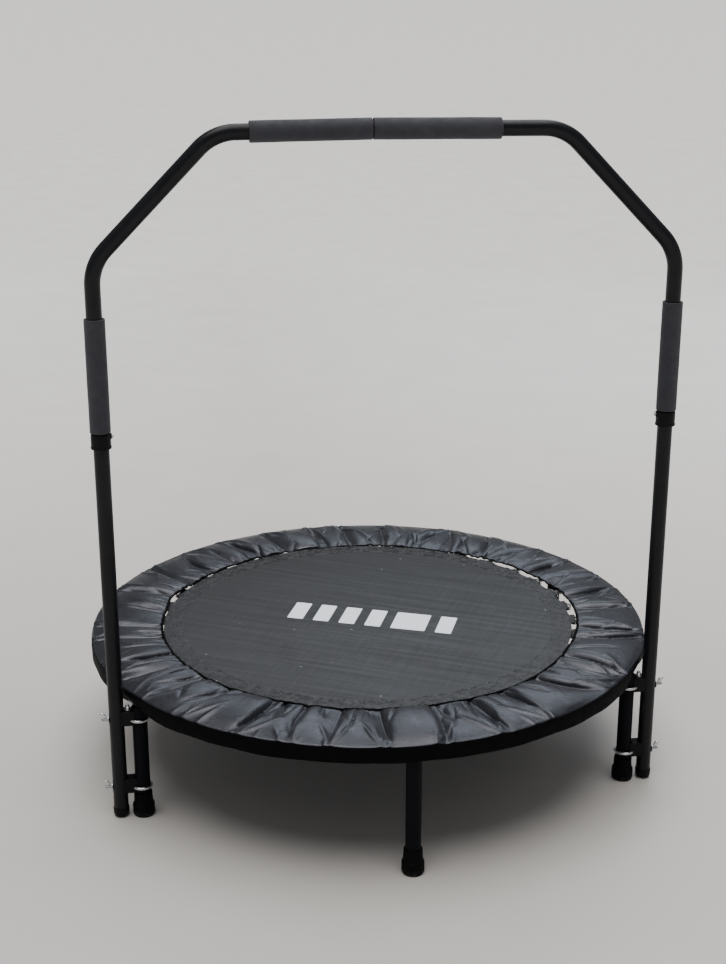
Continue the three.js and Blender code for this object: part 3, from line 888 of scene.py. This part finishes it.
# ---- bouncing surface ----------------------------------------------
def scallop(points, depth=1.3 * MM):
    """Pulls a disc's edge in a little between the springs, as stretched cloth does."""
    points = points.copy()
    r = np.hypot(points[:, 0], points[:, 1])
    angle = np.arctan2(points[:, 0], -points[:, 1]) - SPRING_TURN
    between = np.abs(np.sin(angle * SPRING_COUNT / 2))
    edge = np.clip((r / MAT_R - 0.93) / 0.07, 0, 1.2)
    points[:, :2] *= (1 - depth * between * edge / MAT_R)[:, None]
    return points


def mat():
    radii = [k * MAT_R / 16 for k in range(16)]
    lower = [(r, MAT_BOTTOM) for r in radii] + [(MAT_R, MAT_BOTTOM, 0.4 * MM)]
    upper = [(MAT_R, MAT_TOP, 0.4 * MM)] + [(r, MAT_TOP) for r in reversed(radii)]
    points, faces = lathe(rounded(lower + upper), 360)
    surface = piece("mat_fabric", (scallop(points), faces), "mat_surface", "mat_weave", ["mat"])

    hem_r = MAT_R - 0.5 * MM
    points, faces = pipe(hem_r, MAT_R - HEM_WIDTH, HEM_BOTTOM, high("mat_hem").z, 0.4 * MM, 360)
    hem = piece("mat_hem_band", (scallop(points), faces), "mat_surface", "mat_weave", ["mat_hem"])
    return surface, hem


STITCH_PITCH = 4.6 * MM
STITCH_SIZE = np.array([2.1, 0.80, 0.55]) * MM
STITCH_ROWS = (3.2, 6.0, 10.5, 15.0, 19.5, 24.0, 28.5, 32.4, 35.2)  # mm in from the mat's edge


def stitches():
    """Rows of lock stitch that hold the hem, standing just proud of the mat."""
    tips = np.array([[-1, 0, 0.1], [-0.6, 0.5, 0.1], [-0.6, 0, 1], [-0.6, -0.5, 0.1], [-0.6, 0, -0.6],
                     [0.6, 0.5, 0.1], [0.6, 0, 1], [0.6, -0.5, 0.1], [0.6, 0, -0.6], [1, 0, 0.1]])
    ends = [[0, 2, 1], [0, 3, 2], [0, 4, 3], [0, 1, 4], [9, 5, 6], [9, 6, 7], [9, 7, 8], [9, 8, 5]]
    sides = [[1, 2, 6, 5], [2, 3, 7, 6], [3, 4, 8, 7], [4, 1, 5, 8]]
    rng = np.random.default_rng(21)
    shapes = []
    for inset in STITCH_ROWS:
        radius = MAT_R - inset * MM
        count = round(TAU * radius / STITCH_PITCH)
        for k in range(count):
            a = k * TAU / count + inset
            size = STITCH_SIZE * rng.uniform(0.7, 1.2)
            turn = Matrix.Rotation(a + rng.normal() * 0.03, 4, "Z")
            place = Matrix.Translation(polar(a, radius + rng.normal() * 0.12 * MM, MAT_TOP)) @ turn
            shapes.append(moved((tips * size, ends + sides), place))
    points, faces = joined(*shapes)
    return piece("mat_stitching", (scallop(points), faces), "mat_surface", "mat_weave:thread", sharp=80)


MOTIF_CENTRE = Vector((0.0080, -0.0020, 0))
MOTIF_TURN = math.radians(-22.5)
MOTIF_HEIGHT = 74 * MM
MOTIF_WIDTHS = (30, 30, 30, 30, 64, 30)
MOTIF_GAP = 19 * MM


def motif():
    """A plain printed mark: a row of leaning bars."""
    widths = [w * MM for w in MOTIF_WIDTHS]
    total = sum(widths) + MOTIF_GAP * (len(widths) - 1)
    along = Vector((math.cos(MOTIF_TURN), math.sin(MOTIF_TURN), 0))
    up = Vector((0.36, 0.93, 0)).normalized() * MOTIF_HEIGHT
    start = -total / 2
    on_mat = Matrix.Translation((0, 0, MAT_TOP + 0.08 * MM))
    shapes = []
    for w in widths:
        left, right = along * start, along * (start + w)
        corners = [left - up / 2, right - up / 2, right + up / 2, left + up / 2]
        outline = rounded([(*(c + MOTIF_CENTRE).xy, 3 * MM) for c in corners], steps=5, closed=True)
        shapes.append(moved(slab(outline, 0.2 * MM, 0.08 * MM, 1), on_mat))
        start += w + MOTIF_GAP
    return piece("mat_print", joined(*shapes), "mat_surface", "mat_weave:print")


def spring_rings():
    """Triangular wire rings, each in a webbing loop sewn under the mat's edge."""
    corners = mm((7.4, -20, 2), (15.4, 0, 3.2), (7.4, 20, 2), radius=MAT_R)
    loop = rounded(corners, steps=6, closed=True)
    ring = sweep([(x, y, 0) for x, y in loop], RING_WIRE_R, 12, closed=True)
    rings = [moved(ring, at_spring(i, RING_Z)) for i in range(SPRING_COUNT)]
    piece("spring_rings", joined(*rings), "mat_surface", "spring_steel", sharp=60)

    strap = mm((-15, 0.4), (-2, 0.4), (3, 1.9), (8.6, 1.7), (10.2, 0), (8.6, -1.7), (3, -1.9), (-2, -0.5),
               (-15, -0.5), radius=MAT_R)
    outline = [(x, -z) for x, z in reversed(smooth_loop(strap, 4))]
    plate = moved(slab(outline, 36 * MM, 0.4 * MM), Matrix.Rotation(-math.pi / 2, 4, "X"))
    tabs = [moved(plate, at_spring(i, RING_Z)) for i in range(SPRING_COUNT)]
    return piece("webbing_loops", joined(*tabs), "mat_surface", "mat_weave:webbing", sharp=60)


COIL_START = MAT_R + 20 * MM
COIL_END = FRAME_R - TUBE_R - 12 * MM
COIL_R = 4.2 * MM
COIL_STEPS = 14
HOOK_X = MAT_R + 15.0 * MM
HOOK_R = 3.0 * MM
SPRING_WIRE = 0.8 * MM


def spring_path():
    """One extension spring along +X: a hook in the ring, close coils, and a hook in the frame's hole."""
    points = []
    for k in range(10):
        a = math.radians(180 - 20 * k)
        points.append((HOOK_X - HOOK_R * math.cos(a), 0, HOOK_R * math.sin(a) - 0.2 * MM))
    points.reverse()
    points.append((COIL_START - 1.6 * MM, 0, 0))
    count = round((COIL_END - COIL_START) / (SPRING_WIRE * 2.05)) * COIL_STEPS
    for k in range(count + 1):
        a = k * TAU / COIL_STEPS
        grow = min(1, k / 7, (count - k) / 7)
        x = COIL_START + (COIL_END - COIL_START) * k / count
        points.append((x, grow * COIL_R * math.sin(a), grow * COIL_R * math.cos(a)))
    end = FRAME_R - TUBE_R
    hook = mm((-8, 0), (-3, 0.1), (0.5, 0.1), (4.5, -0.6), (6.4, -2.4), (6.8, -4.2), radius=end)
    points += [(x, 0, z) for x, z in hook]
    rise = RING_Z - SPRING_Z
    return [(x, y, z + rise * (end - x) / (end - HOOK_X)) for x, y, z in points]


def springs():
    shape = sweep(spring_path(), SPRING_WIRE, 7)
    for i in range(SPRING_COUNT):
        nodes = ["spring_set"] if i == 0 else []
        placed = moved(shape, at_spring(i, SPRING_Z))
        obj = piece(f"spring_{i + 1:02d}", placed, None, "spring_steel", nodes, sharp=80)
        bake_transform(obj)


# ---- cover ---------------------------------------------------------
COVER_COLUMNS = 1440
TOP_ROWS = 44
BAND_ROWS = 8
COVER_ROWS = TOP_ROWS + BAND_ROWS
EDGE_ROWS = 2
INNER_EDGE_R = 377.2 * MM
# Where the inner edge stands back from the mat and the springs show: degrees, width in degrees, distance.
INNER_EDGE_GAPS = ((97, 26, 13.5 * MM), (130, 15, 8 * MM), (-113, 6, 8 * MM), (34, 17, 4 * MM))
SEAM_R = COVER_R - 2.6 * MM
SEAM_Z = 231.6 * MM
PUFF = 11.5 * MM
DEEPEST_CREASE = 14.5 * MM
CLOTH_FRAMES = 8
CLOTH_SPARE = 1.02
CLOTH_CAP = 2.0 * MM


def near(angle, degrees, width):
    """1 at an angle in degrees, falling smoothly away on both sides."""
    away = np.abs((angle - math.radians(degrees) + math.pi) % TAU - math.pi)
    return np.exp(-(away / math.radians(width)) ** 2)


def cusp(angle, share, line, widths, soft):
    """1 on a line, falling off sharply on both sides, so that what lies between stays puffy."""
    x = ((angle - line + math.pi) % TAU - math.pi) * (0.384 + 0.12 * share)
    wide = np.where(x < 0, widths[0], widths[1])
    return np.exp((soft - np.sqrt(x ** 2 + soft ** 2)) / wide)


def ease(x):
    x = np.clip(x, 0, 1)
    return x * x * (3 - 2 * x)


def folds(angle, share):
    """How far the gathered cloth stands above the line from the inner edge to the seam."""
    rng = np.random.default_rng(17)
    degree = math.radians(1)
    puff = share ** 0.45 * (1 - share) ** 0.6 / 0.488
    size = np.ones_like(angle)
    down = np.zeros((len(angle), share.shape[1]))
    up = np.zeros_like(down)
    for i in range(SPRING_COUNT):
        size += rng.uniform(-0.42, 0.22) * near(angle, math.degrees(spring_angle(i)), 5.0)
        middle = spring_angle(i + 0.5) + rng.normal() * 1.1 * degree
        steep, slow = rng.uniform(2.8, 5.0) * MM, rng.uniform(9, 17) * MM
        widths = (steep, slow) if rng.random() < 0.5 else (slow, steep)
        sway, swoop = rng.normal() * 1.8 * degree, rng.normal() * 2.4 * degree
        line = middle + sway * share + swoop * share ** 2
        length = rng.uniform(0.80, 1.45)
        narrow = [w * (1.15 - 0.5 * share) for w in widths]
        depth = (rng.uniform(0.85, 1.25) * PUFF * puff + 1.6 * MM) * ease((length - share) / 0.45)
        down = np.maximum(down, depth * cusp(angle, share, line, narrow, 1.2 * MM))
        for _ in range(rng.integers(4, 7)):
            place = middle + rng.uniform(-5.0, 5.0) * degree + rng.normal() * 4.5 * degree * share
            narrow = (rng.uniform(1.4, 3.0) * MM, rng.uniform(2.4, 7.5) * MM)
            depth = rng.uniform(1.4, 5.2) * MM * puff ** 0.6
            depth = depth * ease((rng.uniform(0.18, 0.80) - share) / 0.25)
            down = down + depth * cusp(angle, share, place, narrow, 0.8 * MM)
        back = 1 - share
        ridge = line + rng.choice((-1, 1)) * rng.uniform(0.8, 2.4) * degree
        reach = ease((rng.uniform(0.45, 0.85) - back) / 0.5)
        height = rng.uniform(2.0, 4.2) * MM * reach
        up = np.maximum(up, height * cusp(angle, share, ridge, (7 * MM, 5 * MM), 0.6 * MM))
        for turn in (-1, 1, 0.4, -0.5):
            start = ridge + rng.normal() * (1 - abs(turn)) * 4 * degree
            spread = start + turn * rng.uniform(3.0, 13.0) * degree * back
            reach = ease((rng.uniform(0.28, 0.70) - back) / 0.3)
            height = rng.uniform(1.4, 3.8) * MM * reach
            up = np.maximum(up, height * cusp(angle, share, spread, (2.2 * MM, 4.2 * MM), 0.7 * MM))
    down = DEEPEST_CREASE * np.tanh(down / DEEPEST_CREASE)
    return PUFF * size * puff - down + up * (1 - 0.35 * share ** 6)


def smooth_max(a, b, blend):
    return (a + b + np.sqrt((a - b) ** 2 + blend ** 2)) / 2


def cover_points():
    """The gathered cover: columns of rows, from the inner edge over the seam to the hem."""
    angle = (np.arange(COVER_COLUMNS) * TAU / COVER_COLUMNS)[:, None]
    share = np.linspace(0, 1, TOP_ROWS)[None, :] ** 1.15
    lift = folds(angle, share)

    inner_r = INNER_EDGE_R
    for degrees, width, distance in INNER_EDGE_GAPS:
        inner_r = inner_r + distance * near(angle, degrees, width)
    inner_z = MAT_TOP + (2.9 - 2.6 * near(angle, 180, 45) - 2.0 * near(angle, 132, 20)) * MM
    inner_z += 0.5 * MM * np.sin(9 * angle)
    stretch = 1 + 0.5 * np.sin(5 * angle + 1) + 0.3 * np.sin(13 * angle + 2) + 0.25 * np.sin(23 * angle)
    phase = np.cumsum(stretch)[:, None]
    phase = phase / phase[-1] * TAU
    strong = 0.6 + 0.4 * np.sin(11 * angle + 0.7)
    ruffle = strong * (0.7 * np.sin(142 * phase) + 0.5 * np.sin(97 * angle + np.sin(7 * angle)))
    edge = np.exp(-share / 0.11)
    r = inner_r * (1 - share) + SEAM_R * share + (0.0009 * ruffle - 0.25 * lift * (1 - share)) * edge
    z = inner_z * (1 - share) + SEAM_Z * share + lift + 0.0012 * ruffle * edge
    clear = TUBE_R + 1.4 * MM
    over_tube = FRAME_Z + np.sqrt(np.clip(clear ** 2 - (r - FRAME_R) ** 2, 0, None))
    z = smooth_max(z, np.where(np.abs(r - FRAME_R) < clear, over_tube, 0), 1.4 * MM * share)
    over_springs = MAT_TOP - 1.9 * MM + 1.7 * MM * ease((share - 0.08) / 0.12)
    z = smooth_max(z, np.where(share < 0.8, over_springs, 0), 0.5 * MM)
    slope = (np.roll(z, -1, axis=0) - np.roll(z, 1, axis=0)) / (2 * r * TAU / COVER_COLUMNS)
    shift = np.clip(-1.2 * MM * slope, -1.8 * MM, 1.8 * MM) * (1 - share ** 6) / r

    drop = np.linspace(0, 1, BAND_ROWS + 1)[None, 1:]
    handle = sum(near(angle, math.degrees(leg_angle(i)), 5.5) for i in HANDLE_LEGS)
    wave = 0.5 * np.sin(31 * angle + np.sin(9 * angle))
    wave = wave + 0.5 * np.sin(14 * angle + 2 * np.sin(3 * angle))
    hem_z = COVER_HEM + 0.0030 * handle + 0.0006 * (1 + wave)
    turn = np.sin(np.minimum(drop * 2.2, 1) * math.pi / 2)
    seam_r, seam_z = r[:, -1:], z[:, -1:]
    outer_r = COVER_R - 0.5 * MM - 0.0007 * (1 + wave) * drop
    band_r = seam_r + (outer_r - seam_r) * turn - 0.0085 * handle * np.clip(drop * 1.5 - 0.5, 0, 1)
    band_z = seam_z + (hem_z - seam_z) * drop
    around = np.concatenate([angle + shift, np.repeat(angle, BAND_ROWS, 1)], 1)
    r = np.concatenate([r, band_r], 1)
    z = np.concatenate([z, band_z], 1)
    return np.stack([r * np.sin(around), -r * np.cos(around), z], -1)


def relaxed(obj, points):
    """Lets the spare cloth in the gathers buckle, with the inner edge, seam and band held."""
    obj.shape_key_add(name="Basis")
    rest = obj.shape_key_add(name="cut")
    middle = np.array([0, 0, FRAME_Z])
    spare = (points - middle) * CLOTH_SPARE + middle
    rest.data.foreach_set("co", spare.reshape(-1).astype(np.float32))
    rest.value = 0
    pins = obj.vertex_groups.new(name="pins")
    first = np.arange(COVER_COLUMNS) * COVER_ROWS
    for row in [0, *range(TOP_ROWS - 1, COVER_ROWS)]:
        pins.add([int(v) for v in first + row], 1.0, "ADD")
    cloth = obj.modifiers.new("cloth", "CLOTH")
    s = cloth.settings
    s.quality = 5
    s.mass = 0.15
    s.tension_stiffness = 15
    s.compression_stiffness = 15
    s.shear_stiffness = 6
    s.bending_stiffness = 0.05
    s.tension_damping = 8
    s.compression_damping = 8
    s.shear_damping = 8
    s.bending_damping = 0.5
    s.air_damping = 1
    s.effector_weights.gravity = 0.25
    s.vertex_group_mass = "pins"
    s.rest_shape_key = rest
    cloth.collision_settings.use_collision = False
    scene = bpy.context.scene
    cloth.point_cache.frame_start = 1
    cloth.point_cache.frame_end = CLOTH_FRAMES
    for f in range(1, CLOTH_FRAMES + 1):
        scene.frame_set(f)
    graph = bpy.context.evaluated_depsgraph_get()
    final = bpy.data.meshes.new_from_object(obj.evaluated_get(graph))
    moved_to = np.zeros(points.size)
    final.vertices.foreach_get("co", moved_to)
    bpy.data.meshes.remove(final)
    scene.frame_set(1)
    step = moved_to.reshape(points.shape) - points
    reach = np.linalg.norm(step, axis=-1, keepdims=True)
    return points + step * (CLOTH_CAP * np.tanh(reach / CLOTH_CAP) / np.maximum(reach, 1e-9))


def cover():
    points = cover_points()
    faces = grid_faces(COVER_COLUMNS, COVER_ROWS)
    loose = mesh_object("loose", (points.reshape(-1, 3), faces))
    points = relaxed(loose, points)
    bpy.data.objects.remove(loose)
    obj = mesh_object("spring_cover_cloth", (points.reshape(-1, 3), faces))
    dress(obj, "frame", "cover_cloth", ["spring_cover"], sharp=80)
    # The band and the two inner edge rows take the darker band cloth: a real binding whose darkness is
    # partly painted shade, and a painted shadow line along the inner edge.
    obj.data.materials.append(COVER_BAND_SHADED)
    for polygon in obj.data.polygons:
        row = min(v % COVER_ROWS for v in polygon.vertices)
        if row >= TOP_ROWS - 1 or row < EDGE_ROWS:
            polygon.material_index = 1
    wall = obj.modifiers.new("wall", "SOLIDIFY")
    wall.thickness = 0.7 * MM
    wall.offset = -1
    inner_edge = points[:, 0] - np.array([0, 0, 0.1 * MM])
    wire = sweep(inner_edge, 1.5 * MM, 8, closed=True)
    elastic = piece("cover_elastic", wire, "frame", "cover_cloth", sharp=80)
    # The elastic takes the darker band cloth too: a painted shadow line along the inner edge.
    elastic.data.materials[0] = COVER_BAND_SHADED


# ---- the assembly --------------------------------------------------
frame_ring()
legs()
for side_name in SIDES:
    uprights(side_name)
    collar(side_name)
    arch(side_name)
    grips(side_name)
    block_stud(side_name)
    for level_name in LEVELS:
        eye_bolt(side_name, level_name)
        saddle_block(side_name, level_name)
        washer(side_name, level_name)
        wing_nut(side_name, level_name)

mat_surface, mat_hem_band = mat()
mat_extras = [mat_hem_band, stitches(), motif(), spring_rings()]
springs()
cover()

kept_nodes = {f"leg_stud_{name}": "zinc" for name in LEG_NAMES} | {"arch_joiner": "frame_paint"}
for node_name, finish in kept_nodes.items():
    for material_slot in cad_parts[node_name].material_slots:
        material_slot.material = MATERIALS[finish]
